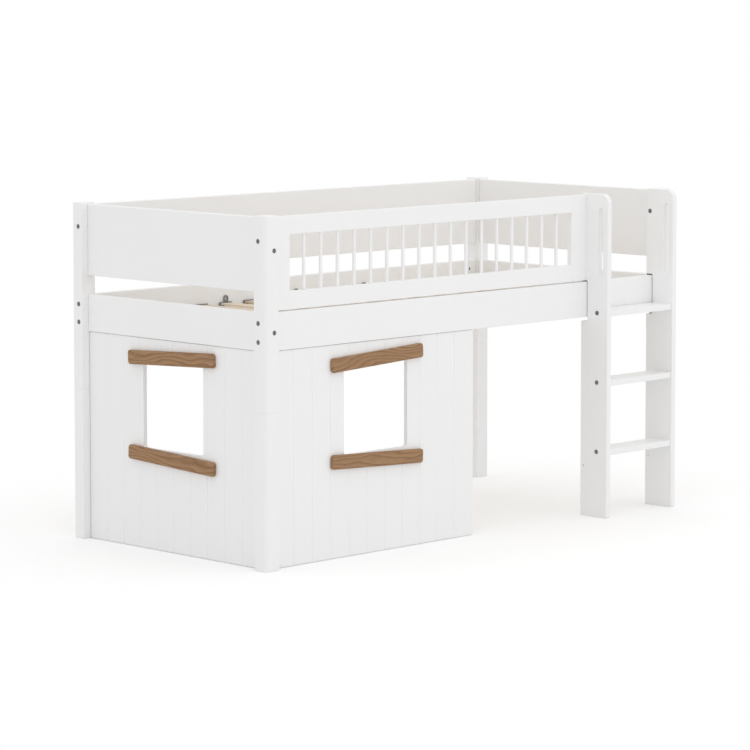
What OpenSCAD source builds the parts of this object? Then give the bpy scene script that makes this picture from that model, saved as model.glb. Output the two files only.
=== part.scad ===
// Mid-high cabin bed: four jointed corner posts, rails and boards, a barred guard, a ladder
// hung over the front rail, a slatted base and two grooved play panels with window battens.
// Millimetres. X runs along the bed, Y from the ladder side to the rear, Z up.
// The origin is on the floor, in the middle of the box that holds the whole bed.

/* [Frame] */
// Length over the corner posts
bed_l = 2110; // [1950:5:2200]
// Width over the corner posts
bed_w = 1015; // [950:5:1100]
// Height of the corner posts and of the ladder sides
post_h = 1205; // [1185:5:1260]
// Side of a square corner post
post_s = 60; // [58:1:66]
// Radius of a post's outer upright edge
post_round = 20; // [5:1:24]
// Height of the joint between a leg and its upper post
leg_h = 539; // [480:1:600]

/* [Rails and boards] */
// Thickness of the rails and upper boards
rail_t = 25; // [22:1:28]
// Step from a post's outer face in to the rails and boards
rail_inset = 27; // [24:1:29]
// Height of a rail
rail_h = 132; // [124:1:140]
// Height of an upper board
board_h = 254; // [230:1:270]
// Open gap between a rail and the board above it
board_gap = 68; // [56:1:80]
// Step from the top of a post down to the boards
board_drop = 6; // [2:1:16]

/* [Guard] */
// Thickness of the guard's frame
guard_t = 20; // [18:1:22]
// Open gap between the front rail and the guard
guard_gap = 4; // [2:1:10]
// Width of the guard's two stiles
stile_w = 81; // [60:1:100]
// Height of the guard's top and bottom rails
guard_rail_h = 62; // [50:1:72]
// Number of balusters
baluster_count = 17; // [11:1:21]
// Width of a baluster, along the bed
baluster_w = 11; // [8:0.5:14]
// Depth of a baluster, across the guard
baluster_d = 10; // [8:0.5:12]
// Depth to which a baluster is let into a rail
baluster_let = 8; // [5:1:14]
// Length of the tenons on the guard's rails
tenon_l = 20; // [12:1:30]
// Thickness of those tenons
tenon_t = 8; // [6:0.5:10]
// Height of the shoulder above and below a tenon
tenon_shoulder = 10; // [6:1:14]

/* [Ladder] */
// Width over the ladder's sides
ladder_w = 395; // [360:1:460]
// Thickness of a ladder side
side_t = 23; // [19:1:25]
// Depth of a ladder side, front edge to back edge
side_d = 129; // [120:1:150]
// Reach of a side's back edge behind the rail
side_past = 3; // [0:0.5:4]
// Radius of a side's upper front corner
side_round = 35; // [15:1:45]
// Width of the hand slot
slot_w = 22; // [18:1:28]
// Length of the hand slot
slot_h = 260; // [180:1:280]
// Distance from the top of a side down to the hand slot
slot_drop = 52; // [46:1:66]
// Distance of the hand slot's middle from the side's front edge
slot_inset = 35; // [32:1:46]
// Open gap in front of the rail inside a side's notch
notch_front = 2.5; // [1:0.5:6]
// Thickness of the pad on which a side hangs over the rail
pad_t = 4; // [2:0.5:8]
// Open gap under the rail inside a side's notch
notch_below = 16; // [4:1:20]
// Radius of the notch's inner corners
notch_round = 6; // [2:0.5:10]
// Thickness of a tread
tread_t = 22; // [20:1:28]
// Depth of a tread
tread_d = 93; // [85:1:94]
// Step from a side's front edge back to the treads
tread_inset = 5; // [2:0.5:6]
// Rise of the upper tread's middle above the rails' lower edge
tread_top = 18; // [12:1:30]
// Rise from one tread to the next
tread_rise = 259; // [240:1:260]
// Diameter of the small anchor hole low in each side
anchor_d = 5; // [3:0.5:8]
// Height of the anchor hole
anchor_z = 188; // [150:1:205]
// Distance of the anchor hole from the side's back edge
anchor_inset = 15; // [8:1:20]

/* [Play panels] */
// Thickness of a panel
panel_t = 16; // [14:0.5:18]
// Step from a post's outer face in to a panel
panel_inset = 32; // [28:1:34]
// Gap between a panel and the floor
panel_floor = 1.5; // [1:0.5:12]
// Gap between a panel and the rail above it
panel_top_gap = 1.5; // [1:0.5:6]
// Gap between a panel and the post beside it
panel_side_gap = 2; // [0.5:0.5:4]
// Reach of the front panel from its post
front_panel_w = 986; // [850:1:1200]
// Width of the planks between two grooves
plank_w = 88; // [70:1:110]
// Width of a groove at the panel's face
groove_w = 4; // [2:0.5:6]
// Depth of a groove
groove_deep = 2.5; // [1:0.25:4]
// Width of a window
window_w = 312; // [240:1:340]
// Height of a window
window_h = 312; // [260:1:325]
// Distance from a panel's top down to its window
window_drop = 75; // [68:1:84]
// Radius of a window's corners
window_round = 12; // [4:1:30]

/* [Window battens] */
// Length of a batten
batten_l = 445; // [425:1:480]
// Height of a batten
batten_h = 50; // [40:1:56]
// Thickness of a batten
batten_t = 16; // [12:0.5:22]
// Radius of a batten's corners
batten_round = 10; // [2:1:18]
// Tilt of the battens, in degrees
batten_tilt = 2.7; // [0:0.1:5]
// Rise of the upper batten's middle above the window
batten_above = 14.5; // [10:0.5:20]
// Drop of the lower batten's middle under the window
batten_below = 28.5; // [20:0.5:40]
// Distance of a batten's screws from its ends
batten_screw_in = 32; // [20:1:36]

/* [Slatted base] */
// Thickness of the ledges that carry the slats
ledge_t = 20; // [16:1:30]
// Height of a ledge
ledge_h = 25; // [22:1:27]
// Rise of a ledge's top above the rails' lower edge
ledge_rise = 41; // [40:1:60]
// Width of a slat
slat_w = 57; // [45:1:70]
// Thickness of a slat
slat_t = 12; // [8:0.5:18]
// Gap between a corner post and the nearest slat cap
slat_margin = 1; // [1:1:20]
// Thickness of a slat cap's floor and side walls
cap_wall = 2; // [1.5:0.25:3]
// Height of a cap's side walls above its floor
cap_side_h = 6; // [3:0.5:8]
// Thickness of a cap's end wall and of its hoop
cap_end_t = 5; // [3:0.5:7]
// Rise of a cap's end wall above the slat
cap_rise = 3.5; // [1:0.5:5]
// Length of a slat cap, along the slat
cap_l = 26; // [20:1:40]
// Gap between a slat cap and the long rail beside it
cap_gap = 2; // [0.5:0.5:4]
// Diameter of the peg under a slat cap
peg_d = 8; // [5:0.5:10]
// Length of the peg
peg_l = 10; // [6:1:12]
// Width of a mattress hoop
hoop_w = 21; // [18:1:30]
// Height of a mattress hoop
hoop_h = 25; // [22:1:32]
// Thickness of the hoop's band
hoop_band = 4; // [3:0.5:6]
// Height of the solid foot under the hoop's eye
hoop_foot = 8; // [4:0.5:10]

/* [Bolts and nuts] */
// Diameter of a bolt
bolt_d = 6; // [5:0.5:6.5]
// Diameter of a bolt's flat head
head_d = 16; // [13:0.5:17]
// Height of a bolt's head
head_h = 3; // [2:0.25:4]
// Depth of a bolt's head under the surface
head_sink = 0.5; // [0.25:0.25:1.5]
// Width of the hexagonal socket, across its corners
socket_d = 4.6; // [3:0.2:6]
// Depth of the hexagonal socket
socket_deep = 2; // [1:0.25:2]
// Half the spacing of the two bolts at a long rail's end
bolt_step = 32; // [26:1:40]
// Drop from the boards' top edge to the upper bolts along the bed
upper_bolt_drop = 79; // [74:1:90]
// Diameter of a barrel nut
nut_d = 10; // [9:0.5:12]
// Length of a barrel nut
nut_l = 16; // [12:1:20]
// Distance of a barrel nut from its rail's end
nut_in = 35; // [28:1:45]
// Length of a bolt's end past its barrel nut
bolt_past = 3; // [1:0.5:6]
// Diameter of a threaded insert
insert_d = 10; // [9:0.5:12]
// Length of a threaded insert
insert_l = 20; // [14:1:26]
// Diameter of the threaded stud between leg and post
stud_d = 8; // [6:0.5:12]
// Length of that stud
stud_l = 80; // [60:2:110]

/* [Dowels and screws] */
// Diameter of a wooden dowel
dowel_d = 8; // [6:0.5:8.5]
// Depth of a dowel in a post, side or leg
dowel_set = 14; // [10:0.5:15]
// Depth of a dowel in the piece that meets it
dowel_reach = 22; // [16:1:30]
// Distance of a board's or the guard's dowels from their bolt
dowel_step = 60; // [45:1:66]
// Distance of an end rail's dowels from its bolt
rail_dowel_step = 45; // [42:1:50]
// Distance of a tread's dowels from its bolt
tread_dowel_step = 28; // [20:1:32]
// Distance of a leg's dowels from the post's middle, each way
leg_dowel_step = 14; // [11:0.5:18]
// Diameter of a wood screw
screw_d = 4; // [3:0.25:4.5]
// Diameter of a wood screw's head
screw_head_d = 8; // [6:0.5:8.5]
// Height of a wood screw's head
screw_head_h = 2.4; // [1.5:0.1:3.5]
// Depth of a wood screw in a panel, batten, post or rail
screw_grip = 9; // [6:0.5:10]
// Depth of a ledge's screws in the rail
ledge_grip = 15; // [10:1:18]

/* [Panel brackets] */
// Thickness of the steel straps and angles
strap_t = 2; // [1.5:0.25:2.5]
// Width of the straps and angles
strap_w = 25; // [18:1:35]
// Reach of a strap down a panel's back
strap_down = 26; // [18:1:34]
// Drop of a strap's joggle below the panel's top
strap_joggle = 4; // [2:0.5:7]
// Gap between a strap and the ledge above it
strap_clear = 3; // [1:0.5:4]
// Distance of the outer straps from a panel's edges
strap_edge = 120; // [90:1:160]
// Largest spacing of the straps
strap_pitch = 330; // [250:5:420]
// Reach of an angle along a panel's back
angle_reach = 25; // [20:1:40]
// Distance of an angle's panel screw from the post
angle_screw = 16; // [12:1:20]
// Height of the end panel's angles above the panel's foot
angle_z = 60; // [30:1:90]
// Rise of the front panel's angle above the end panel's
angle_stagger = 40; // [38:1:70]

/* [Clearances] */
// Radial clearance of a bolt in its hole
bolt_clear = 0.5; // [0.25:0.25:1]
// Clearance of a bolt's head in its seat, all round
seat_clear = 0.5; // [0.25:0.25:1]
// Radial clearance of nuts, inserts, studs, dowels and screws
fit = 0.1; // [0.05:0.05:0.25]
// Clearance round tenons, balusters, slat ends and pegs
slide = 0.2; // [0.1:0.05:0.3]
// Gap between a ledge's ends and the posts
ledge_clear = 1; // [0.5:0.5:5]

/* [Hidden] */
$fn = 48;
cut = 1;                                     // how far a cutting shape runs past a face
SLATS = 17;
HOOPS = [5, 8, 11];                          // slats that carry a mattress hoop, counted from zero
SCREWS_AFTER = [0, 3, 6, 9, 12, 15];         // slats followed by a ledge screw, counted from zero
TREADS = ["lower", "middle", "upper"];
CORNERS = ["front_left", "front_right", "rear_left", "rear_right"];
RIGHT = [0, 1, 0, 1];                        // 1 where the corner of the same rank is at the right
REAR = [0, 0, 1, 1];                         // 1 where it is at the rear

rail_back = rail_inset + rail_t;             // rails' inner face, from the posts' outer face
panel_back = panel_inset + panel_t;
ladder_out = side_d - side_past - rail_back; // how far the ladder stands in front of the posts
x_end = bed_l / 2;
y_front = -(bed_w - ladder_out) / 2;
y_rear = y_front + bed_w;

board_top = post_h - board_drop;
board_z = board_top - board_h;
rail_top = board_z - board_gap;
rail_z = rail_top - rail_h;
rail_mid = rail_z + rail_h / 2;
bolt_line = rail_inset + rail_t / 2;         // bolts run in the middle of the rails' thickness
upper_x_z = board_top - upper_bolt_drop;     // upper bolts along the bed
upper_y_z = upper_x_z - bolt_step;           // upper bolts across the bed
LONG_BOLTS = [rail_mid - bolt_step, rail_mid + bolt_step];

guard_z = rail_top + guard_gap;
guard_h = board_top - guard_z;
ladder_x = bed_l - post_s - ladder_w;        // ladder's left face, from the bed's left end
guard_l = ladder_x - post_s;
guard_window_w = guard_l - 2 * stile_w;
guard_window_h = guard_h - 2 * guard_rail_h;
baluster_gap = (guard_window_w - baluster_count * baluster_w) / (baluster_count + 1);

tread_l = ladder_w - 2 * side_t;
tread_y = tread_inset + tread_d / 2;         // treads' middle, from the sides' front edge
slot_z = post_h - slot_drop - slot_h;
notch_deep = side_past + rail_t + notch_front;

panel_h = rail_z - panel_top_gap - panel_floor;
end_panel_w = bed_w - 2 * post_s;
window_mid = panel_h - window_drop - window_h / 2;
strap_up = ledge_rise - ledge_h - strap_clear;

ledge_top = rail_z + ledge_rise;
peg_y = rail_back + ledge_t / 2;
slat_z = ledge_top + cap_wall;
cap_w = slat_w + 2 * slide + 2 * cap_wall;
cap_h = cap_wall + slat_t + cap_rise;        // from the ledge to the top of its end wall
cap_y = rail_back + cap_gap;                 // a cap's outer end, from the posts' outer face
slat_y = cap_y + cap_end_t + slide;
first_slat = post_s + slat_margin + cap_w / 2;
slat_pitch = (bed_l - 2 * first_slat) / (SLATS - 1);

seat_deep = head_h + head_sink;
seat_d = head_d + 2 * seat_clear;
nut_bolt_l = post_s + nut_in + nut_d / 2 + bolt_past;   // from the post's outer face
insert_bolt_l = post_s + insert_l - slide;
tread_bolt_l = side_t + insert_l - slide;
dowel_l = dowel_set + dowel_reach - 2 * slide;
short_grip = strap_t + screw_grip;           // a bracket screw's shank

function two(i) = str(i < 9 ? "0" : "", i + 1);
function slat_x(i) = first_slat + i * slat_pitch;
function strap_count(w) = ceil((w - 2 * strap_edge) / strap_pitch) + 1;
function strap_x(w, i) = strap_edge + i * (w - 2 * strap_edge) / (strap_count(w) - 1);
function tread_mid(i) = rail_z + tread_top - (len(TREADS) - 1 - i) * tread_rise;

// ---------------------------------------------------------------------------
// Frames. In a side's own frame x runs along that side from its corner, y runs inward
// from the posts' outer face and z is up. A corner's frame is the same, at that corner.

module swap_xy() { rotate([0, 0, 90]) mirror([0, 1, 0]) children(); }
module on_front() { translate([-x_end, y_front, 0]) children(); }
module on_rear() { translate([-x_end, y_rear, 0]) mirror([0, 1, 0]) children(); }
module on_left() { translate([-x_end, y_front, 0]) swap_xy() children(); }
module on_right() { translate([x_end, y_front, 0]) mirror([1, 0, 0]) swap_xy() children(); }
module on_both_ends() {
    on_left() children();
    on_right() children();
}
module on_ladder() { on_front() translate([ladder_x, -ladder_out, 0]) children(); }
module on_guard() { on_front() translate([post_s, rail_back - guard_t, guard_z]) children(); }
module on_end_panel() { on_left() translate([post_s, 0, panel_floor]) children(); }
module on_front_panel() { on_front() translate([post_s, 0, panel_floor]) children(); }
module both_ends(len) {
    children();
    translate([len, 0, 0]) mirror([1, 0, 0]) children();
}
module at_corner(k) {
    translate([RIGHT[k] ? x_end : -x_end, REAR[k] ? y_rear : y_front, 0])
        mirror([RIGHT[k], 0, 0]) mirror([0, REAR[k], 0]) children();
}
module aim_in_x() { rotate([0, 90, 0]) children(); }
module aim_out_x() { rotate([0, -90, 0]) children(); }
module aim_in_y() { rotate([-90, 0, 0]) children(); }
module aim_out_y() { rotate([90, 0, 0]) children(); }

// ---------------------------------------------------------------------------
// Fasteners and their holes, each drawn along +z from the face that it enters

module bolt(l) {
    difference() {
        union() {
            translate([0, 0, head_sink]) cylinder(d = head_d, h = head_h);
            translate([0, 0, seat_deep]) cylinder(d = bolt_d, h = l - seat_deep);
        }
        translate([0, 0, head_sink - cut]) cylinder(d = socket_d, h = cut + socket_deep, $fn = 6);
    }
}
module bolt_bore(l) { cylinder(d = bolt_d + 2 * bolt_clear, h = l); }
module bolt_hole(l) {
    translate([0, 0, -cut]) cylinder(d = seat_d, h = seat_deep + cut);
    bolt_bore(l + cut);
}
module insert() {
    difference() {
        cylinder(d = insert_d, h = insert_l);
        translate([0, 0, -cut]) cylinder(d = bolt_d + 2 * fit, h = insert_l + 2 * cut);
    }
}
module insert_hole() {
    translate([0, 0, -cut]) cylinder(d = insert_d + 2 * fit, h = insert_l + cut);
}
module barrel_nut() {                        // its bolt crosses it along x
    difference() {
        translate([0, -nut_l / 2, 0]) aim_in_y() cylinder(d = nut_d, h = nut_l);
        translate([-nut_d, 0, 0]) aim_in_x() cylinder(d = bolt_d + 2 * fit, h = 2 * nut_d);
    }
}
module screw(l) {
    translate([0, 0, -screw_head_h]) cylinder(d = screw_head_d, h = screw_head_h);
    cylinder(d = screw_d, h = l);
}
module screw_hole(l) {
    translate([0, 0, -cut]) cylinder(d = screw_d + 2 * fit, h = l + cut + slide);
}
module dowel() { translate([0, 0, slide - dowel_set]) cylinder(d = dowel_d, h = dowel_l); }
module dowel_hole() {                        // cuts both pieces that meet at z = 0
    translate([0, 0, -dowel_set]) cylinder(d = dowel_d + 2 * fit, h = dowel_set + dowel_reach);
}

// ---------------------------------------------------------------------------
// Fastener places, shared by the holes and by what goes in them

// on the post's outer face, aiming along the side
module side_bolt_places(heights) {
    for (z = heights) translate([0, bolt_line, z]) aim_in_x() children();
}
// on the joint between a post and what meets it
module joint_places(heights) {
    for (z = heights) translate([post_s, bolt_line, z]) aim_in_x() children();
}
module joint_dowel_places(z, step) { joint_places([z - step, z + step]) children(); }
module leg_stud_place() { translate([post_s / 2, post_s / 2, leg_h]) children(); }
module leg_dowel_places() {
    for (s = [-1, 1])
        translate([post_s / 2 + s * leg_dowel_step, post_s / 2 - s * leg_dowel_step, leg_h])
            children();
}

// ladder's frame: x from its left face, y from the sides' front edge
module tread_places(x) {
    for (i = [0:len(TREADS) - 1]) translate([x, tread_y, tread_mid(i)]) aim_in_x() children();
}
module tread_dowel_places() {
    for (i = [0:len(TREADS) - 1], s = [-1, 1])
        translate([side_t, tread_y + s * tread_dowel_step, tread_mid(i)]) aim_in_x() children();
}
// a side's upper fixing, outward from x, into the guard or the post beside it
module upper_fixing_place(x) {
    translate([x, ladder_out + bolt_line, upper_x_z]) aim_out_x() children();
}
module guard_dowel_places() {
    for (s = [-1, 1])
        translate([0, ladder_out + bolt_line, upper_x_z + s * dowel_step]) aim_out_x() children();
}

// panel's frame: x from its edge, y from the posts' outer face, z from its foot
// lean is 1 where the upper batten rises along +x and -1 where it falls
module upper_batten_place(w, lean) {
    translate([w / 2, panel_inset, window_mid + window_h / 2 + batten_above])
        rotate([0, -lean * batten_tilt, 0]) children();
}
module lower_batten_place(w, lean) {
    translate([w / 2, panel_inset, window_mid - window_h / 2 - batten_below])
        rotate([0, lean * batten_tilt, 0]) children();
}
module batten_screw_pair(y) {
    for (s = [-1, 1]) translate([s * (batten_l / 2 - batten_screw_in), y, 0]) aim_out_y() children();
}
module batten_screw_places(w, lean) {
    upper_batten_place(w, lean) batten_screw_pair(panel_t) children();
    lower_batten_place(w, lean) batten_screw_pair(panel_t) children();
}
module strap_places(w) { for (i = [0:strap_count(w) - 1]) translate([strap_x(w, i), 0, 0]) children(); }
module strap_panel_screws(w) {
    strap_places(w)
        translate([0, panel_back + strap_t, panel_h - strap_down / 2])
            aim_out_y() children();
}
module strap_rail_screws(w) {
    strap_places(w)
        translate([0, rail_back + strap_t, panel_h + panel_top_gap + strap_up / 2])
            aim_out_y() children();
}
module angle_panel_screw(z) {
    translate([angle_screw, panel_back + strap_t, z + strap_w / 2]) aim_out_y() children();
}
module angle_post_screw(z) {
    translate([strap_t, (panel_back + strap_t + post_s) / 2, z + strap_w / 2]) aim_out_x() children();
}
module ledge_screw_places() {
    for (k = SCREWS_AFTER)
        translate([(slat_x(k) + slat_x(k + 1)) / 2, rail_back + ledge_t, ledge_top - ledge_h / 2])
            aim_out_y() children();
}

// ---------------------------------------------------------------------------
// Corner posts, each a leg and an upper post, drawn in the corner's own frame

module post_profile() {
    translate([post_round, 0]) square([post_s - post_round, post_s]);
    translate([0, post_round]) square([post_s, post_s - post_round]);
    translate([post_round, post_round]) circle(post_round);
}
module leg_joint_cuts() {
    leg_stud_place() cylinder(d = stud_d + 2 * fit, h = stud_l, center = true);
    leg_dowel_places() cylinder(d = dowel_d + 2 * fit, h = 2 * dowel_set, center = true);
}
module angle_on_post() { translate([post_s, 0, panel_floor]) children(); }
module leg(k) {
    color("white") at_corner(k) difference() {
        linear_extrude(leg_h) post_profile();
        leg_joint_cuts();
        if (!RIGHT[k])
            swap_xy() angle_on_post() angle_post_screw(angle_z) screw_hole(short_grip);
        if (!RIGHT[k] && !REAR[k])
            angle_on_post() angle_post_screw(angle_z + angle_stagger) screw_hole(short_grip);
    }
}
module upper_post(k) {
    meets_ladder = RIGHT[k] && !REAR[k];
    color("white") at_corner(k) difference() {
        translate([0, 0, leg_h]) linear_extrude(post_h - leg_h) post_profile();
        leg_joint_cuts();
        side_bolt_places(LONG_BOLTS) bolt_hole(post_s);
        swap_xy() {
            side_bolt_places([rail_mid, upper_y_z]) bolt_hole(post_s);
            joint_dowel_places(rail_mid, rail_dowel_step) dowel_hole();
            joint_dowel_places(upper_y_z, dowel_step) dowel_hole();
        }
        if (meets_ladder)
            translate([post_s, bolt_line, upper_x_z]) aim_out_x() insert_hole();
        else {
            side_bolt_places([upper_x_z]) bolt_hole(post_s);
            joint_dowel_places(upper_x_z, dowel_step) dowel_hole();
        }
    }
}

// ---------------------------------------------------------------------------
// Rails and boards, drawn in their side's own frame; len is the side's outer length

module plank(len, z, h) { translate([post_s, rail_inset, z]) cube([len - 2 * post_s, rail_t, h]); }
module nut_places(heights) { for (z = heights) translate([post_s + nut_in, bolt_line, z]) children(); }
module nut_pocket() {                        // open at the rail's inner face
    translate([0, -nut_l / 2, 0])
        aim_in_y() cylinder(d = nut_d + 2 * fit, h = rail_back - bolt_line + nut_l / 2 + cut);
}
module rail(len, heights) {
    difference() {
        plank(len, rail_z, rail_h);
        both_ends(len) {
            side_bolt_places(heights) bolt_bore(nut_bolt_l + slide);
            nut_places(heights) nut_pocket();
        }
    }
}
module long_rail() {
    difference() {
        rail(bed_l, LONG_BOLTS);
        ledge_screw_places() screw_hole(ledge_t + ledge_grip);
    }
}
module end_rail() {
    difference() {
        rail(bed_w, [rail_mid]);
        both_ends(bed_w) joint_dowel_places(rail_mid, rail_dowel_step) dowel_hole();
    }
}
module upper_board(len, bolt_z) {
    difference() {
        plank(len, board_z, board_h);
        both_ends(len) {
            joint_places([bolt_z]) insert_hole();
            joint_dowel_places(bolt_z, dowel_step) dowel_hole();
        }
    }
}
module rail_front() {
    color("white") difference() {
        on_front() long_rail();
        on_front_panel() strap_rail_screws(front_panel_w) screw_hole(short_grip);
    }
}
module rail_rear() { color("white") on_rear() long_rail(); }
module rail_left() {
    color("white") difference() {
        on_left() end_rail();
        on_end_panel() strap_rail_screws(end_panel_w) screw_hole(short_grip);
    }
}
module rail_right() { color("white") on_right() end_rail(); }
module board_rear() { color("white") on_rear() upper_board(bed_l, upper_x_z); }
module board_left() { color("white") on_left() upper_board(bed_w, upper_y_z); }
module board_right() { color("white") on_right() upper_board(bed_w, upper_y_z); }

// ---------------------------------------------------------------------------
// Guard, in a frame whose x starts at the post, y at the guard's face, z at its foot

module tenon(grow) {                         // grow is the clearance of the mortise round it
    translate([-tenon_l - grow, (guard_t - tenon_t) / 2 - grow, tenon_shoulder - grow])
        cube([tenon_l + grow + cut, tenon_t + 2 * grow, guard_rail_h - 2 * tenon_shoulder + 2 * grow]);
}
module baluster_row(grow, let_in) {
    for (i = [0:baluster_count - 1])
        translate([stile_w + baluster_gap + i * (baluster_w + baluster_gap) - grow,
                   (guard_t - baluster_d) / 2 - grow, guard_rail_h - let_in])
            cube([baluster_w + 2 * grow, baluster_d + 2 * grow, guard_window_h + 2 * let_in]);
}
module guard_rail(z) {
    color("white") on_guard() difference() {
        translate([stile_w, 0, z]) {
            cube([guard_window_w, guard_t, guard_rail_h]);
            both_ends(guard_window_w) tenon(0);
        }
        baluster_row(slide, baluster_let);
    }
}
module stile() {                             // the left one
    difference() {
        cube([stile_w, guard_t, guard_h]);
        for (z = [0, guard_h - guard_rail_h]) translate([stile_w, 0, z]) tenon(slide);
        translate([-post_s, guard_t - rail_back, -guard_z]) {
            joint_places([upper_x_z]) insert_hole();
            joint_dowel_places(upper_x_z, dowel_step) dowel_hole();
        }
    }
}
module guard_bottom_rail() { guard_rail(0); }
module guard_top_rail() { guard_rail(guard_h - guard_rail_h); }
module guard_left_stile() { color("white") on_guard() stile(); }
module guard_right_stile() {
    color("white") on_guard() translate([guard_l, 0, 0]) mirror([1, 0, 0]) stile();
}
module guard_balusters() { color("white") on_guard() baluster_row(0, baluster_let - slide); }

// ---------------------------------------------------------------------------
// Ladder

module notch_profile() {                     // open at the side's back edge
    deep = notch_deep + cut;
    tall = notch_below + rail_h + pad_t;
    translate([side_d - notch_deep, rail_z - notch_below]) {
        translate([notch_round, 0]) square([deep - notch_round, tall]);
        translate([0, notch_round]) square([deep, tall - 2 * notch_round]);
        for (z = [notch_round, tall - notch_round]) translate([notch_round, z]) circle(notch_round);
    }
}
module slot_profile() {
    translate([slot_inset, slot_z + slot_w / 2]) {
        translate([-slot_w / 2, 0]) square([slot_w, slot_h - slot_w]);
        for (z = [0, slot_h - slot_w]) translate([0, z]) circle(slot_w / 2);
    }
}
module side_profile() {                      // x from the front edge, y up
    difference() {
        union() {
            square([side_d, post_h - side_round]);
            translate([side_round, 0]) square([side_d - side_round, post_h]);
            translate([side_round, post_h - side_round]) circle(side_round);
        }
        notch_profile();
        slot_profile();
        translate([side_d - anchor_inset, anchor_z]) circle(d = anchor_d);
    }
}
module ladder_side(meets_guard) {            // the left one
    difference() {
        rotate([90, 0, 90]) linear_extrude(side_t) side_profile();
        tread_places(0) bolt_hole(side_t);
        tread_dowel_places() dowel_hole();
        upper_fixing_place(side_t) bolt_hole(side_t);
        if (meets_guard) guard_dowel_places() dowel_hole();
    }
}
module ladder_left_side() { color("white") on_ladder() ladder_side(true); }
module ladder_right_side() {
    color("white") on_ladder() translate([ladder_w, 0, 0]) mirror([1, 0, 0]) ladder_side(false);
}
module ladder_pads() {                       // on the rail, clear of the notch's round corner
    y = side_d - side_past - rail_t + max(notch_round - notch_front, 0);
    color("dimgray") on_ladder() both_ends(ladder_w)
        translate([0, y, rail_top]) cube([side_t, side_d - side_past - y, pad_t]);
}
module tread(i) {
    color("white") on_ladder() difference() {
        translate([side_t, tread_inset, tread_mid(i) - tread_t / 2]) cube([tread_l, tread_d, tread_t]);
        both_ends(ladder_w) {
            tread_places(side_t) insert_hole();
            tread_dowel_places() dowel_hole();
        }
    }
}
module ladder_bolts() {
    color("dimgray") on_ladder() both_ends(ladder_w) {
        tread_places(0) bolt(tread_bolt_l);
        upper_fixing_place(side_t) bolt(tread_bolt_l);
    }
}

// ---------------------------------------------------------------------------
// Play panels and window battens, in a panel's frame

module rounded_rectangle(w, h, r) {
    square([w - 2 * r, h], center = true);
    square([w, h - 2 * r], center = true);
    for (x = [-1, 1], y = [-1, 1]) translate([x * (w / 2 - r), y * (h / 2 - r)]) circle(r);
}
module groove() {
    half = groove_w / 2 * (groove_deep + cut) / groove_deep;
    linear_extrude(panel_h + 2 * cut) polygon([[-half, -cut], [half, -cut], [0, groove_deep]]);
}
module panel(w, lean, end_gap) {              // end_gap is the clearance at its far edge
    grooves = round(w / plank_w) - 1;
    difference() {
        translate([panel_side_gap, panel_inset, 0])
            cube([w - panel_side_gap - end_gap, panel_t, panel_h]);
        for (i = [0:grooves - 1])
            translate([w / 2 + (i - (grooves - 1) / 2) * plank_w, panel_inset, -cut]) groove();
        translate([w / 2, panel_back + cut, window_mid])
            aim_out_y() linear_extrude(panel_t + 2 * cut)
                rounded_rectangle(window_w, window_h, window_round);
        batten_screw_places(w, lean) screw_hole(panel_t + cut);
        strap_panel_screws(w) screw_hole(short_grip);
    }
}
module panel_end() {
    color("white") on_end_panel() difference() {
        panel(end_panel_w, -1, panel_side_gap);
        both_ends(end_panel_w) angle_panel_screw(angle_z) screw_hole(short_grip);
    }
}
module panel_front() {
    color("white") on_front_panel() difference() {
        panel(front_panel_w, 1, 0);
        angle_panel_screw(angle_z + angle_stagger) screw_hole(short_grip);
    }
}
module batten() {                            // its back lies on y = 0
    color("sienna") difference() {
        aim_out_y() linear_extrude(batten_t) rounded_rectangle(batten_l, batten_h, batten_round);
        batten_screw_pair(0) screw_hole(screw_grip);
    }
}
module batten_end_upper() { on_end_panel() upper_batten_place(end_panel_w, -1) batten(); }
module batten_end_lower() { on_end_panel() lower_batten_place(end_panel_w, -1) batten(); }
module batten_front_upper() { on_front_panel() upper_batten_place(front_panel_w, 1) batten(); }
module batten_front_lower() { on_front_panel() lower_batten_place(front_panel_w, 1) batten(); }

// ---------------------------------------------------------------------------
// Steel straps between panel and rail, and angles between panel and post

module strap() {
    translate([-strap_w / 2, 0, panel_h]) rotate([90, 0, 90]) linear_extrude(strap_w) polygon([
        [panel_back, -strap_down], [panel_back + strap_t, -strap_down],
        [panel_back + strap_t, -strap_joggle], [rail_back + strap_t, panel_top_gap],
        [rail_back + strap_t, panel_top_gap + strap_up], [rail_back, panel_top_gap + strap_up],
        [rail_back, panel_top_gap], [panel_back, -strap_joggle]]);
}
module angle_blank(z) {
    translate([0, 0, z]) linear_extrude(strap_w) polygon([
        [0, panel_back], [angle_reach, panel_back], [angle_reach, panel_back + strap_t],
        [strap_t, panel_back + strap_t], [strap_t, post_s], [0, post_s]]);
}
module straps(w) {
    difference() {
        strap_places(w) strap();
        strap_panel_screws(w) screw_hole(strap_t);
        strap_rail_screws(w) screw_hole(strap_t);
    }
}
module angle(z) {
    difference() {
        angle_blank(z);
        angle_panel_screw(z) screw_hole(strap_t);
        angle_post_screw(z) screw_hole(strap_t);
    }
}
module panel_brackets() {
    color("silver") {
        on_end_panel() {
            straps(end_panel_w);
            both_ends(end_panel_w) angle(angle_z);
        }
        on_front_panel() {
            straps(front_panel_w);
            angle(angle_z + angle_stagger);
        }
    }
}

// ---------------------------------------------------------------------------
// Slatted base, drawn in a long side's frame

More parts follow.
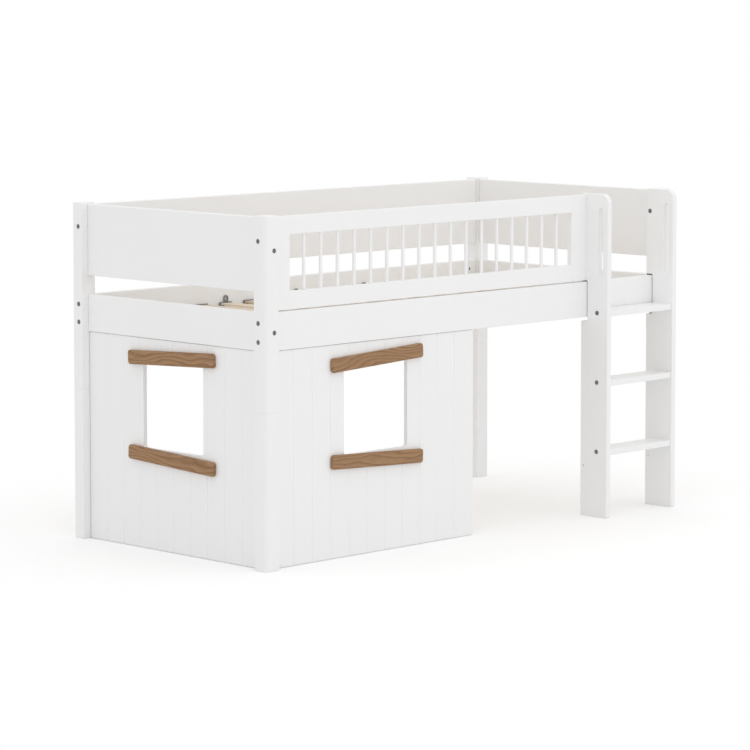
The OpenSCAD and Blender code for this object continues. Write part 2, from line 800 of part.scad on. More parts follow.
module ledge() {
    color("burlywood") difference() {
        translate([post_s + ledge_clear, rail_back, ledge_top - ledge_h])
            cube([bed_l - 2 * (post_s + ledge_clear), ledge_t, ledge_h]);
        ledge_screw_places() screw_hole(ledge_t);
        for (i = [0:SLATS - 1])
            translate([slat_x(i), peg_y, ledge_top - peg_l - slide])
                cylinder(d = peg_d + 2 * slide, h = peg_l + slide + cut);
    }
}
module ledges() {
    on_front() ledge();
    on_rear() ledge();
}
module slat(i) {
    color("burlywood") on_front()
        translate([slat_x(i) - slat_w / 2, slat_y, slat_z]) cube([slat_w, bed_w - 2 * slat_y, slat_t]);
}
module slat_cap() {                          // x from the slat's middle
    translate([-cap_w / 2, cap_y, ledge_top]) {
        cube([cap_w, cap_l, cap_wall]);
        cube([cap_w, cap_end_t, cap_h]);
        for (x = [0, cap_w - cap_wall]) translate([x, 0, 0]) cube([cap_wall, cap_l, cap_wall + cap_side_h]);
    }
    translate([0, peg_y, ledge_top - peg_l]) cylinder(d = peg_d, h = peg_l);
}
module arch(w, h) {                          // x across, y up from its feet
    translate([-w / 2, 0]) square([w, h - w / 2]);
    translate([0, h - w / 2]) circle(w / 2);
}
module mattress_hoop() {
    translate([0, cap_y + cap_end_t, ledge_top + cap_h])
        aim_out_y() linear_extrude(cap_end_t) difference() {
            arch(hoop_w, hoop_h);
            translate([0, hoop_foot]) arch(hoop_w - 2 * hoop_band, hoop_h - hoop_band - hoop_foot);
        }
}
module at_slat_ends(ranks) {
    for (i = ranks) {
        on_front() translate([slat_x(i), 0, 0]) children();
        on_rear() translate([slat_x(i), 0, 0]) children();
    }
}
module slat_caps() { color("dimgray") at_slat_ends([for (i = [0:SLATS - 1]) i]) slat_cap(); }
module mattress_hoops() { color("dimgray") at_slat_ends(HOOPS) mattress_hoop(); }

// ---------------------------------------------------------------------------
// Hardware, each kind drawn once for the whole bed

module frame_bolts() {
    color("dimgray") {
        on_front() {
            both_ends(bed_l) side_bolt_places(LONG_BOLTS) bolt(nut_bolt_l);
            side_bolt_places([upper_x_z]) bolt(insert_bolt_l);
        }
        on_rear() both_ends(bed_l) {
            side_bolt_places(LONG_BOLTS) bolt(nut_bolt_l);
            side_bolt_places([upper_x_z]) bolt(insert_bolt_l);
        }
        on_both_ends() both_ends(bed_w) {
            side_bolt_places([rail_mid]) bolt(nut_bolt_l);
            side_bolt_places([upper_y_z]) bolt(insert_bolt_l);
        }
    }
}
module barrel_nuts() {
    color("silver") {
        on_front() both_ends(bed_l) nut_places(LONG_BOLTS) barrel_nut();
        on_rear() both_ends(bed_l) nut_places(LONG_BOLTS) barrel_nut();
        on_both_ends() both_ends(bed_w) nut_places([rail_mid]) barrel_nut();
    }
}
module threaded_inserts() {
    color("silver") {
        on_front() joint_places([upper_x_z]) insert();
        on_rear() both_ends(bed_l) joint_places([upper_x_z]) insert();
        on_both_ends() both_ends(bed_w) joint_places([upper_y_z]) insert();
        on_ladder() both_ends(ladder_w) {
            upper_fixing_place(0) insert();
            tread_places(side_t) insert();
        }
    }
}
module post_studs() {
    color("silver") for (k = [0:len(CORNERS) - 1]) at_corner(k)
        leg_stud_place() cylinder(d = stud_d, h = stud_l - 2 * slide, center = true);
}
module wood_dowels() {
    color("burlywood") {
        for (k = [0:len(CORNERS) - 1]) at_corner(k)
            leg_dowel_places() cylinder(d = dowel_d, h = 2 * (dowel_set - slide), center = true);
        on_front() joint_dowel_places(upper_x_z, dowel_step) dowel();
        on_rear() both_ends(bed_l) joint_dowel_places(upper_x_z, dowel_step) dowel();
        on_both_ends() both_ends(bed_w) {
            joint_dowel_places(rail_mid, rail_dowel_step) dowel();
            joint_dowel_places(upper_y_z, dowel_step) dowel();
        }
        on_ladder() {
            guard_dowel_places() dowel();
            both_ends(ladder_w) tread_dowel_places() dowel();
        }
    }
}
module wood_screws() {
    color("silver") {
        on_front() ledge_screw_places() screw(ledge_t + ledge_grip);
        on_rear() ledge_screw_places() screw(ledge_t + ledge_grip);
        on_end_panel() {
            batten_screw_places(end_panel_w, -1) screw(panel_t + screw_grip);
            strap_panel_screws(end_panel_w) screw(short_grip);
            strap_rail_screws(end_panel_w) screw(short_grip);
            both_ends(end_panel_w) {
                angle_panel_screw(angle_z) screw(short_grip);
                angle_post_screw(angle_z) screw(short_grip);
            }
        }
        on_front_panel() {
            batten_screw_places(front_panel_w, 1) screw(panel_t + screw_grip);
            strap_panel_screws(front_panel_w) screw(short_grip);
            strap_rail_screws(front_panel_w) screw(short_grip);
            angle_panel_screw(angle_z + angle_stagger) screw(short_grip);
            angle_post_screw(angle_z + angle_stagger) screw(short_grip);
        }
    }
}

// ---------------------------------------------------------------------------

for (k = [0:len(CORNERS) - 1]) {
    leg(k);
    upper_post(k);
}
post_studs();
wood_dowels();
frame_bolts();
barrel_nuts();
threaded_inserts();
rail_front();
rail_rear();
rail_left();
rail_right();
board_rear();
board_left();
board_right();
guard_top_rail();
guard_bottom_rail();
guard_left_stile();
guard_right_stile();
guard_balusters();
ladder_left_side();
ladder_right_side();
ladder_pads();
for (i = [0:len(TREADS) - 1]) tread(i);
ladder_bolts();
panel_end();
panel_front();
batten_end_upper();
batten_end_lower();
batten_front_upper();
batten_front_lower();
panel_brackets();
wood_screws();
ledges();
slat_caps();
mattress_hoops();
for (i = [0:SLATS - 1]) slat(i);
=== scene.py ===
import math

import bpy
from bpy.props import FloatProperty, FloatVectorProperty, PointerProperty
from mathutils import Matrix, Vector

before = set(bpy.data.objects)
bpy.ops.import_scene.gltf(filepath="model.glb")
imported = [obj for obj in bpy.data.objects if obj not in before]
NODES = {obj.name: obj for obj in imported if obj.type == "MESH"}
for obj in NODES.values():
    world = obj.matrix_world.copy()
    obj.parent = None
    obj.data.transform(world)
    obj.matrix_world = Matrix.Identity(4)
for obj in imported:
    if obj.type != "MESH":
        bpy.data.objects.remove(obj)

bl_info = {
    "name": "Cabin bed finish",
    "version": (1, 0, 0),
    "blender": (4, 5, 0),
    "location": "View3D > Sidebar > Cabin bed",
    "description": "Gives a cabin bed its lacquer, oak, pine and steel, and sets it in a pale studio",
    "category": "Object",
}

BODY = "root"
MM = 0.001

CORNERS = ("front_left", "front_right", "rear_left", "rear_right")
UPRIGHTS = [f"leg_{corner}" for corner in CORNERS] + [f"post_{corner}" for corner in CORNERS]
LONG_BOARDS = ["rail_front", "rail_rear", "board_rear"]
END_BOARDS = ["rail_left", "rail_right", "board_left", "board_right"]
GUARD_RAILS = ["guard_top_rail", "guard_bottom_rail"]
GUARD_UPRIGHTS = ["guard_left_stile", "guard_right_stile"]
LADDER_SIDES = ["ladder_left_side", "ladder_right_side"]
TREADS = ["tread_lower", "tread_middle", "tread_upper"]
BATTENS = {
    "batten_end_upper": ("Y", -1),
    "batten_end_lower": ("Y", 1),
    "batten_front_upper": ("X", 1),
    "batten_front_lower": ("X", -1),
}
SLATS = sorted(name for name in NODES if name.startswith("slat_") and name != "slat_caps")
DARK_STEEL = ["frame_bolts", "ladder_bolts", "barrel_nuts"]
ZINC = ["threaded_inserts", "post_studs", "panel_brackets", "wood_screws"]


# ---------------------------------------------------------------------------
# Settings

def colour(name, description, default):
    """A colour setting, as linear red, green and blue."""
    return FloatVectorProperty(name=name, description=description, subtype="COLOR", size=3,
                               min=0, max=1, default=default)


def length(name, description, default):
    """A length setting, in metres."""
    return FloatProperty(name=name, description=description, default=default, min=0,
                         unit="LENGTH", subtype="DISTANCE", precision=4)


class CabinBedWood(bpy.types.PropertyGroup):
    """Colours and edges of the wooden pieces."""
    lacquer: colour("Lacquer", "White satin lacquer on posts, rails, guard, ladder and panels",
                    (0.945, 0.945, 0.945))
    oak_light: colour("Oak, light", "Early wood of the window battens", (0.44, 0.265, 0.138))
    oak_dark: colour("Oak, dark", "Late wood of the window battens", (0.185, 0.083, 0.033))
    pine_light: colour("Pine, light", "Early wood of slats and ledges", (0.83, 0.73, 0.59))
    pine_dark: colour("Pine, dark", "Late wood of slats and ledges", (0.50, 0.355, 0.215))
    beech: colour("Beech", "Dowels", (0.62, 0.42, 0.25))
    frame_edge: length("Frame edge", "Rounding of the edges of posts and legs", 1.0 * MM)
    board_edge: length("Board edge", "Rounding of the edges of rails and boards", 3.0 * MM)
    ladder_edge: length("Ladder edge", "Rounding of the edges of ladder sides and treads", 2.0 * MM)
    guard_edge: length("Guard edge", "Rounding of the guard's edges", 0.8 * MM)
    baluster_edge: length("Baluster edge", "Rounding of the balusters' edges", 3.0 * MM)
    panel_edge: length("Panel edge", "Rounding of the panels' edges and grooves", 0.5 * MM)
    batten_edge: length("Batten edge", "Rounding of the battens' edges", 4.0 * MM)
    slat_edge: length("Slat edge", "Rounding of slats and ledges", 1.5 * MM)


class CabinBedFittings(bpy.types.PropertyGroup):
    """Colours and edges of metal and plastic pieces."""
    bolt: colour("Bolts", "Burnished dark steel", (0.20, 0.20, 0.205))
    steel: colour("Steel", "Zinc plated steel", (0.62, 0.63, 0.65))
    plastic: colour("Plastic", "Slat caps and mattress hoops", (0.20, 0.20, 0.205))
    rubber: colour("Rubber", "Pads on which the ladder hangs", (0.06, 0.06, 0.06))
    bolt_edge: length("Bolt edge", "Rounding of the bolts' heads", 0.35 * MM)
    plastic_edge: length("Plastic edge", "Rounding of caps and hoops", 0.7 * MM)


class CabinBedStage(bpy.types.PropertyGroup):
    """Floor, light and camera."""
    floor_radius: length("Floor radius", "Half the floor's side", 60.0)
    fade_start: length("Fade start", "Distance at which the floor starts to turn plain white", 1.2)
    fade_end: length("Fade end", "Distance at which it is plain white", 2.6)
    floor_tone: FloatProperty(name="Floor tone", description="Reflectance of the floor",
                              default=0.92, min=0, max=1, subtype="FACTOR")
    floor_seen: FloatProperty(name="Floor seen", description="Reflectance that the camera sees",
                              default=1.0, min=0, max=1, subtype="FACTOR")
    floor_lift: FloatProperty(name="Floor lift", default=0.08, min=0, max=1, subtype="FACTOR",
                              description="White that the camera sees on top of the floor's own")
    sky: FloatProperty(name="Sky", description="Strength of the even light from all round",
                       default=0.835, min=0)
    front_power: FloatProperty(name="Front lamp", description="Power of the lamp before the ladder's side",
                               default=28.0, min=0, unit="POWER")
    top_power: FloatProperty(name="Top lamp", description="Power of the lamp above the bed",
                             default=60.0, min=0, unit="POWER")
    lens: FloatProperty(name="Lens", description="Focal length", default=158.85, min=1,
                        unit="CAMERA")
    rise: FloatProperty(name="Image shift", description="Vertical shift of the picture",
                        default=-0.1569)
    pitch: FloatProperty(name="Pitch", description="Angle at which the camera looks down",
                         default=math.radians(4.893), subtype="ANGLE")
    turn: FloatProperty(name="Turn", description="Angle between the camera's view and the bed's width",
                        default=math.radians(44.99), subtype="ANGLE")


# ---------------------------------------------------------------------------
# Shader helpers

class Shader:
    """A material's node tree, with its surface shader."""

    def __init__(self, name):
        self.material = bpy.data.materials.new(name)
        self.material.use_nodes = True
        self.tree = self.material.node_tree
        self.surface = self.tree.nodes["Principled BSDF"]
        self.place = self.add("ShaderNodeTexCoord").outputs["Object"]

    def add(self, kind, **settings):
        """A new node with its settings."""
        node = self.tree.nodes.new(kind)
        for key, value in settings.items():
            setattr(node, key, value)
        return node

    def feed(self, node, **sources):
        """Links or sets sockets of a node; an underscore stands for a blank."""
        for key, source in sources.items():
            socket = node.inputs[key.replace("_", " ")]
            if isinstance(source, bpy.types.NodeSocket):
                self.tree.links.new(source, socket)
            else:
                socket.default_value = source
        return node

    def stretched(self, scale, turn=(0, 0, 0), shift=(0, 0, 0)):
        """The piece's own coordinates, turned and scaled."""
        node = self.feed(self.add("ShaderNodeMapping"), Vector=self.place)
        node.inputs["Location"].default_value = shift
        node.inputs["Rotation"].default_value = turn
        node.inputs["Scale"].default_value = scale
        return node.outputs["Vector"]

    def noise(self, vector, scale, detail=3.0, roughness=0.5, distortion=0.0):
        """Soft noise from 0 to 1."""
        node = self.feed(self.add("ShaderNodeTexNoise"), Vector=vector, Scale=scale, Detail=detail,
                         Roughness=roughness, Distortion=distortion)
        return node.outputs["Fac"]

    def spread(self, value, low, high, from_low=0.3, from_high=0.7):
        """A value moved from one range to another."""
        node = self.add("ShaderNodeMapRange")
        self.feed(node, Value=value, From_Min=from_low, From_Max=from_high, To_Min=low, To_Max=high)
        return node.outputs["Result"]

    def mixed(self, factor, first, second):
        """A colour between two colours."""
        node = self.add("ShaderNodeMix", data_type="RGBA")
        for socket, source in ((node.inputs[0], factor), (node.inputs[6], first), (node.inputs[7], second)):
            if isinstance(source, bpy.types.NodeSocket):
                self.tree.links.new(source, socket)
            elif socket.type == "RGBA":
                socket.default_value = (*source, 1)
            else:
                socket.default_value = source
        return node.outputs[2]

    def maths(self, operation, first, second):
        """The sum, product or another combination of two values."""
        node = self.add("ShaderNodeMath", operation=operation)
        for socket, source in zip(node.inputs, (first, second)):
            if isinstance(source, bpy.types.NodeSocket):
                self.tree.links.new(source, socket)
            else:
                socket.default_value = source
        return node.outputs[0]

    def bump(self, height, depth, strength=1.0):
        """A normal that follows a height, depth in metres."""
        node = self.add("ShaderNodeBump")
        self.feed(node, Height=height, Distance=depth, Strength=strength)
        return node.outputs["Normal"]


def along(axis, lengthwise, across):
    """Scales that stretch a pattern along one axis."""
    return tuple(lengthwise if name == axis else across for name in "XYZ")


def tinted(base, factor):
    """A colour made lighter or darker."""
    return tuple(min(1.0, channel * factor) for channel in base)


# ---------------------------------------------------------------------------
# Finishes

def white_lacquer(axis, base):
    """White satin lacquer on solid wood, which shows a trace of the grain along one axis."""
    shader = Shader(f"white_lacquer_{axis.lower()}")
    fibre = shader.noise(shader.stretched(along(axis, 3, 90)), 1.0, detail=5, roughness=0.6)
    cloud = shader.noise(shader.place, 2.2, detail=2)
    stipple = shader.noise(shader.place, 900, detail=2)
    tone = shader.maths("ADD", shader.spread(cloud, 0.0, 0.55), shader.spread(fibre, 0.0, 0.45))
    shade = shader.mixed(tone, tinted(base, 0.987), tinted(base, 1.008))
    height = shader.maths("ADD", fibre, shader.maths("MULTIPLY", stipple, 0.35))
    shader.feed(shader.surface, Base_Color=shade, Roughness=shader.spread(cloud, 0.36, 0.44),
                Normal=shader.bump(height, 0.05 * MM))
    shader.surface.inputs["Specular IOR Level"].default_value = 0.45
    return shader.material


def panel_lacquer(base):
    """White lacquer rolled on smooth board."""
    shader = Shader("white_panel")
    cloud = shader.noise(shader.place, 1.6, detail=2)
    roller = shader.noise(shader.place, 420, detail=3, roughness=0.6)
    shade = shader.mixed(cloud, tinted(base, 0.988), tinted(base, 1.006))
    shader.feed(shader.surface, Base_Color=shade, Roughness=shader.spread(roller, 0.40, 0.48),
                Normal=shader.bump(roller, 0.03 * MM))
    shader.surface.inputs["Specular IOR Level"].default_value = 0.45
    return shader.material


def oak(name, axis, tilt, light, dark):
    """Oiled oak, its grain along a batten that is tilted in its own upright plane."""
    shader = Shader(name)
    turn = (0, tilt, 0) if axis == "X" else (-tilt, 0, 0)
    sway = shader.noise(shader.stretched(along(axis, 3.2, 11), turn), 1.0, detail=2, roughness=0.45)
    split = shader.feed(shader.add("ShaderNodeSeparateXYZ"), Vector=shader.stretched((1, 1, 1), turn))
    rings = shader.maths("ADD", shader.maths("MULTIPLY", split.outputs["Z"], 62),
                         shader.maths("MULTIPLY", sway, 9))
    turn_of_ring = shader.maths("FRACT", rings, 0)
    late = shader.maths("MULTIPLY", shader.maths("POWER", turn_of_ring, 2.2),
                        shader.spread(turn_of_ring, 1, 0, 0.86, 1.0))
    fibre = shader.noise(shader.stretched(along(axis, 14, 420), turn), 1.0, detail=4, roughness=0.65)
    streak = shader.noise(shader.stretched(along(axis, 2.5, 70), turn), 1.0, detail=3, roughness=0.6)
    pore = shader.noise(shader.stretched(along(axis, 34, 1100), turn), 1.0, detail=2)
    depth = shader.maths("ADD", shader.maths("MULTIPLY", late, shader.spread(streak, 0.35, 1.0)),
                         shader.maths("ADD", shader.spread(fibre, 0.20, 0.0),
                                      shader.spread(streak, 0.22, 0.0)))
    base = shader.mixed(depth, light, dark)
    pit = shader.spread(pore, 1.0, 0.0, 0.34, 0.42)
    shade = shader.mixed(shader.maths("MULTIPLY", pit, 0.4), base, tinted(dark, 0.62))
    height = shader.maths("SUBTRACT", fibre, pit)
    shader.feed(shader.surface, Base_Color=shade, Roughness=shader.spread(fibre, 0.48, 0.64),
                Normal=shader.bump(height, 0.12 * MM))
    shader.surface.inputs["Specular IOR Level"].default_value = 0.3
    return shader.material


def pine(axis, light, dark):
    """Bare planed pine, with wide growth rings along one axis."""
    shader = Shader(f"pine_{axis.lower()}")
    ring = shader.noise(shader.stretched(along(axis, 0.5, 75)), 1.0, detail=3, roughness=0.6, distortion=0.4)
    fibre = shader.noise(shader.stretched(along(axis, 10, 480)), 1.0, detail=3)
    stripes = shader.spread(ring, 0.0, 1.0, 0.44, 0.58)
    base = shader.mixed(stripes, light, dark)
    shade = shader.mixed(shader.spread(fibre, 0.0, 0.3), base, tinted(light, 1.08))
    shader.feed(shader.surface, Base_Color=shade, Roughness=shader.spread(fibre, 0.55, 0.68),
                Normal=shader.bump(fibre, 0.08 * MM))
    return shader.material


def plain_wood(name, base):
    """Turned beech for dowels."""
    shader = Shader(name)
    fibre = shader.noise(shader.place, 380, detail=4)
    shader.feed(shader.surface, Base_Color=shader.mixed(fibre, tinted(base, 0.85), tinted(base, 1.1)),
                Roughness=0.62, Normal=shader.bump(fibre, 0.05 * MM))
    return shader.material


def metal(name, base, low, high, grain):
    """Steel with fine scratches; low and high bound its roughness."""
    shader = Shader(name)
    scratch = shader.noise(shader.place, grain, detail=4, roughness=0.6)
    cloud = shader.noise(shader.place, 60, detail=2)
    shader.feed(shader.surface, Base_Color=shader.mixed(cloud, tinted(base, 0.86), tinted(base, 1.12)),
                Roughness=shader.spread(scratch, low, high), Normal=shader.bump(scratch, 0.015 * MM))
    shader.surface.inputs["Metallic"].default_value = 1.0
    return shader.material


def moulded(name, base):
    """Matte moulded plastic or rubber with a fine spark-eroded texture."""
    shader = Shader(name)
    grain = shader.noise(shader.place, 1500, detail=2)
    shader.feed(shader.surface, Base_Color=shader.mixed(grain, tinted(base, 0.9), tinted(base, 1.15)),
                Roughness=shader.spread(grain, 0.48, 0.6), Normal=shader.bump(grain, 0.03 * MM))
    return shader.material


# ---------------------------------------------------------------------------
# Edges

def knit_group():
    """A node group that joins a shell's split corners and shades it smooth."""
    group = bpy.data.node_groups.get("knit") or bpy.data.node_groups.new("knit", "GeometryNodeTree")
    if group.nodes:
        return group
    group.interface.new_socket("Geometry", in_out="INPUT", socket_type="NodeSocketGeometry")
    group.interface.new_socket("Geometry", in_out="OUTPUT", socket_type="NodeSocketGeometry")
    entry = group.nodes.new("NodeGroupInput")
    merge = group.nodes.new("GeometryNodeMergeByDistance")
    merge.inputs["Distance"].default_value = 0.01 * MM
    faces = group.nodes.new("GeometryNodeSetShadeSmooth")
    edges = group.nodes.new("GeometryNodeSetShadeSmooth")
    edges.domain = "EDGE"
    leave = group.nodes.new("NodeGroupOutput")
    for first, second in ((entry, merge), (merge, faces), (faces, edges), (edges, leave)):
        group.links.new(first.outputs[0], second.inputs[0])
    return group


def soften(obj, radius, segments=3):
    """Rounds the edges of a CAD node without changing its mesh."""
    knit = obj.modifiers.new("knit", "NODES")
    knit.node_group = knit_group()
    flat = obj.modifiers.new("flat", "DECIMATE")
    flat.decimate_type = "DISSOLVE"
    flat.angle_limit = math.radians(0.4)
    round_off = obj.modifiers.new("round", "BEVEL")
    round_off.width = radius
    round_off.segments = segments
    round_off.limit_method = "ANGLE"
    round_off.angle_limit = math.radians(32)
    round_off.use_clamp_overlap = False
    round_off.loop_slide = False
    round_off.miter_outer = "MITER_ARC"
    weigh = obj.modifiers.new("weigh", "WEIGHTED_NORMAL")
    weigh.weight = 100
    weigh.keep_sharp = False


def finish(names, material, radius=0.0, segments=3):
    """Gives CAD nodes their material and, with a radius, softer edges."""
    for name in names:
        obj = NODES[name]
        for slot in obj.material_slots:
            slot.material = material
        if radius:
            soften(obj, radius, segments)


# ---------------------------------------------------------------------------
# Operators

class CABINBED_OT_frame(bpy.types.Operator):
    """Finish the posts, legs, rails and boards in white lacquer"""
    bl_idname = "cabinbed.frame"
    bl_label = "Frame"

    def execute(self, context):
        wood = context.scene.cabinbed_wood
        finish(UPRIGHTS, white_lacquer("Z", wood.lacquer), wood.frame_edge)
        finish(LONG_BOARDS, white_lacquer("X", wood.lacquer), wood.board_edge)
        finish(END_BOARDS, white_lacquer("Y", wood.lacquer), wood.board_edge)
        return {"FINISHED"}


class CABINBED_OT_guard(bpy.types.Operator):
    """Finish the guard's rails, stiles and balusters"""
    bl_idname = "cabinbed.guard"
    bl_label = "Guard"

    def execute(self, context):
        wood = context.scene.cabinbed_wood
        finish(GUARD_RAILS, white_lacquer("X", wood.lacquer), wood.guard_edge)
        finish(GUARD_UPRIGHTS, white_lacquer("Z", wood.lacquer), wood.guard_edge)
        finish(["guard_balusters"], white_lacquer("Z", wood.lacquer), wood.baluster_edge, 4)
        return {"FINISHED"}


class CABINBED_OT_ladder(bpy.types.Operator):
    """Finish the ladder's sides, treads and pads"""
    bl_idname = "cabinbed.ladder"
    bl_label = "Ladder"

    def execute(self, context):
        wood = context.scene.cabinbed_wood
        finish(LADDER_SIDES, white_lacquer("Z", wood.lacquer), wood.ladder_edge)
        finish(TREADS, white_lacquer("X", wood.lacquer), wood.ladder_edge)
        finish(["ladder_pads"], moulded("rubber", context.scene.cabinbed_fittings.rubber))
        return {"FINISHED"}


class CABINBED_OT_panels(bpy.types.Operator):
    """Finish the grooved play panels"""
    bl_idname = "cabinbed.panels"
    bl_label = "Play panels"

    def execute(self, context):
        wood = context.scene.cabinbed_wood
        finish(["panel_end", "panel_front"], panel_lacquer(wood.lacquer), wood.panel_edge, 2)
        return {"FINISHED"}


class CABINBED_OT_battens(bpy.types.Operator):
    """Finish the window battens in oiled oak"""
    bl_idname = "cabinbed.battens"
    bl_label = "Window battens"

    tilt: FloatProperty(name="Tilt", description="Tilt of the battens and their grain",
                        default=math.radians(2.7), subtype="ANGLE")

    def execute(self, context):
        wood = context.scene.cabinbed_wood
        for name, (axis, lean) in BATTENS.items():
            grain = oak(f"oak_{name}", axis, lean * self.tilt, wood.oak_light, wood.oak_dark)
            finish([name], grain, wood.batten_edge, 4)
        return {"FINISHED"}


class CABINBED_OT_slats(bpy.types.Operator):
    """Finish the slats and their ledges in bare pine"""
    bl_idname = "cabinbed.slats"
    bl_label = "Slatted base"

    def execute(self, context):
        wood = context.scene.cabinbed_wood
        finish(SLATS, pine("Y", wood.pine_light, wood.pine_dark), wood.slat_edge)
        finish(["ledges"], pine("X", wood.pine_light, wood.pine_dark), wood.slat_edge)
        finish(["wood_dowels"], plain_wood("beech", wood.beech))
        return {"FINISHED"}


class CABINBED_OT_fittings(bpy.types.Operator):
    """Finish bolts, nuts, brackets, caps and hoops"""
    bl_idname = "cabinbed.fittings"
    bl_label = "Fittings"

    def execute(self, context):
        parts = context.scene.cabinbed_fittings
        finish(DARK_STEEL, metal("dark_steel", parts.bolt, 0.28, 0.42, 900), parts.bolt_edge, 2)
        finish(ZINC, metal("zinc_steel", parts.steel, 0.3, 0.46, 1400))
        finish(["slat_caps", "mattress_hoops"], moulded("plastic", parts.plastic), parts.plastic_edge, 2)
        return {"FINISHED"}


class CABINBED_OT_stage(bpy.types.Operator):
    """Add the pale floor, the soft light and the camera"""
    bl_idname = "cabinbed.stage"
    bl_label = "Stage"

    camera_place: FloatVectorProperty(name="Camera", description="Where the camera stands",
                                      default=(-8.5968, -8.5320, 2.0134), subtype="TRANSLATION")

    def execute(self, context):
        stage = context.scene.cabinbed_stage
        add_floor(stage)
        add_world(context.scene, stage)
        add_lamp("front_lamp", stage.front_power, 6, 3, (1.0, -7.5, 2.6), (0.2, 0, 0.6))
        add_lamp("top_lamp", stage.top_power, 8, 8, (0, -0.5, 6.0), (0, 0, 0))
        add_camera(context.scene, stage, self.camera_place)
        context.scene.view_settings.view_transform = "Standard"
        return {"FINISHED"}


def add_floor(stage):
    """A wide floor that keeps the bed's shadow and is plain white far from it."""
    half = stage.floor_radius
    mesh = bpy.data.meshes.new("floor")
    mesh.from_pydata([(-half, -half, 0), (half, -half, 0), (half, half, 0), (-half, half, 0)],
                     [], [(0, 1, 2, 3)])
    floor = bpy.data.objects.new("floor", mesh)
    bpy.context.collection.objects.link(floor)
    mesh.materials.append(floor_finish(stage))


def floor_finish(stage):
    """Matte white; the camera sees it paler, and plain white beyond the bed."""
    shader = Shader("studio_floor")
    tree, nodes = shader.tree, shader.tree.nodes
    nodes.remove(shader.surface)
    paper = shader.noise(shader.place, 160, detail=2)
    grain, relief = shader.spread(paper, 0.0, 0.1), shader.bump(paper, 0.02 * MM)
    matte, bright = (
        shader.feed(shader.add("ShaderNodeBsdfDiffuse"), Roughness=grain, Normal=relief,
                    Color=shader.mixed(paper, tinted([tone] * 3, 0.996), tinted([tone] * 3, 1.0)))
        for tone in (stage.floor_tone, stage.floor_seen))
    lift = shader.feed(shader.add("ShaderNodeEmission"), Strength=stage.floor_lift)
    near = shader.add("ShaderNodeAddShader")
    plain = shader.add("ShaderNodeEmission")
    far = shader.add("ShaderNodeMixShader")
    seen = shader.add("ShaderNodeMixShader")
    distance = shader.add("ShaderNodeVectorMath", operation="LENGTH")
    tree.links.new(shader.place, distance.inputs[0])
    fade = shader.spread(distance.outputs["Value"], 0, 1, stage.fade_start, stage.fade_end)
    path = shader.add("ShaderNodeLightPath")
    sight = shader.maths("MAXIMUM", path.outputs["Is Camera Ray"],
                         shader.maths("MAXIMUM", path.outputs["Is Glossy Ray"],
                                      path.outputs["Is Transmission Ray"]))
    for source, socket in (
            (bright.outputs[0], near.inputs[0]), (lift.outputs[0], near.inputs[1]),
            (fade, far.inputs[0]), (near.outputs[0], far.inputs[1]), (plain.outputs[0], far.inputs[2]),
            (sight, seen.inputs[0]), (matte.outputs[0], seen.inputs[1]), (far.outputs[0], seen.inputs[2]),
            (seen.outputs[0], nodes["Material Output"].inputs["Surface"])):
        tree.links.new(source, socket)
    return shader.material


def add_world(scene, stage):
    """Even light from all round, and plain white where the camera sees past the floor."""
    world = bpy.data.worlds.new("studio")
    world.use_nodes = True
    scene.world = world
    tree = world.node_tree
    even = tree.nodes["Background"]
    even.inputs["Color"].default_value = (1, 1, 1, 1)
    even.inputs["Strength"].default_value = stage.sky
    plain = tree.nodes.new("ShaderNodeBackground")
    plain.inputs["Color"].default_value = (1, 1, 1, 1)
    path = tree.nodes.new("ShaderNodeLightPath")
    either = tree.nodes.new("ShaderNodeMath")
    either.operation = "MAXIMUM"
    sight = tree.nodes.new("ShaderNodeMath")
    sight.operation = "MAXIMUM"
    mix = tree.nodes.new("ShaderNodeMixShader")
    for source, socket in (
            (path.outputs["Is Glossy Ray"], either.inputs[0]),
            (path.outputs["Is Transmission Ray"], either.inputs[1]),
            (path.outputs["Is Camera Ray"], sight.inputs[0]), (either.outputs[0], sight.inputs[1]),
            (sight.outputs[0], mix.inputs[0]), (even.outputs[0], mix.inputs[1]),
            (plain.outputs[0], mix.inputs[2]), (mix.outputs[0], tree.nodes["World Output"].inputs[0])):
        tree.links.new(source, socket)


def add_lamp(name, power, width, height, place, target):
    """A large soft lamp that faces a point on the bed."""
    lamp = bpy.data.lights.new(name, "AREA")
    lamp.energy = power
    lamp.shape = "RECTANGLE"
    lamp.size = width
    lamp.size_y = height
    holder = bpy.data.objects.new(name, lamp)
    holder.location = place
    holder.rotation_euler = (Vector(target) - Vector(place)).to_track_quat("-Z", "Y").to_euler()
    bpy.context.collection.objects.link(holder)


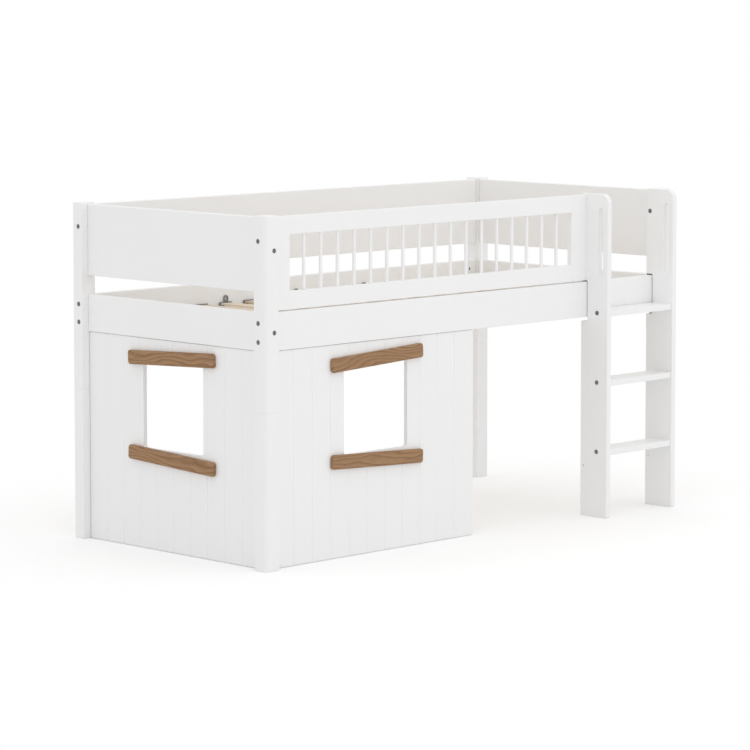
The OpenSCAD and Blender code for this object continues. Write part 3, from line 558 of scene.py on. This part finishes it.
def add_camera(scene, stage, place):
    """The photograph's long lens, from the corner with the play panels."""
    data = bpy.data.cameras.new("camera")
    data.lens = stage.lens
    data.sensor_width = 36
    data.shift_y = stage.rise
    data.clip_end = 200
    camera = bpy.data.objects.new("camera", data)
    camera.location = place
    camera.rotation_euler = (math.pi / 2 - stage.pitch, 0, -stage.turn)
    bpy.context.collection.objects.link(camera)
    scene.camera = camera


class CABINBED_PT_tools(bpy.types.Panel):
    """Lists the bed's groups of pieces"""
    bl_label = "Cabin bed"
    bl_space_type = "VIEW_3D"
    bl_region_type = "UI"
    bl_category = "Cabin bed"

    def draw(self, context):
        layout = self.layout
        for settings in (context.scene.cabinbed_wood, context.scene.cabinbed_fittings,
                         context.scene.cabinbed_stage):
            box = layout.box()
            for name in settings.__annotations__:
                box.prop(settings, name)
        for operator in STEPS:
            layout.operator(operator.bl_idname)


STEPS = (CABINBED_OT_frame, CABINBED_OT_guard, CABINBED_OT_ladder, CABINBED_OT_panels,
         CABINBED_OT_battens, CABINBED_OT_slats, CABINBED_OT_fittings, CABINBED_OT_stage)
SETTINGS = {"cabinbed_wood": CabinBedWood, "cabinbed_fittings": CabinBedFittings,
            "cabinbed_stage": CabinBedStage}
CLASSES = (*SETTINGS.values(), *STEPS, CABINBED_PT_tools)


def register():
    """Adds the settings, operators and panel."""
    for cls in CLASSES:
        bpy.utils.register_class(cls)
    for name, cls in SETTINGS.items():
        setattr(bpy.types.Scene, name, PointerProperty(type=cls))


def unregister():
    """Takes them away again."""
    for name in SETTINGS:
        delattr(bpy.types.Scene, name)
    for cls in reversed(CLASSES):
        bpy.utils.unregister_class(cls)


def main():
    """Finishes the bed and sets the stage."""
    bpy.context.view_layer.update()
    register()
    bpy.ops.cabinbed.frame()
    bpy.ops.cabinbed.guard()
    bpy.ops.cabinbed.ladder()
    bpy.ops.cabinbed.panels()
    bpy.ops.cabinbed.battens()
    bpy.ops.cabinbed.slats()
    bpy.ops.cabinbed.fittings()
    bpy.ops.cabinbed.stage()


if __name__ == "__main__":
    main()
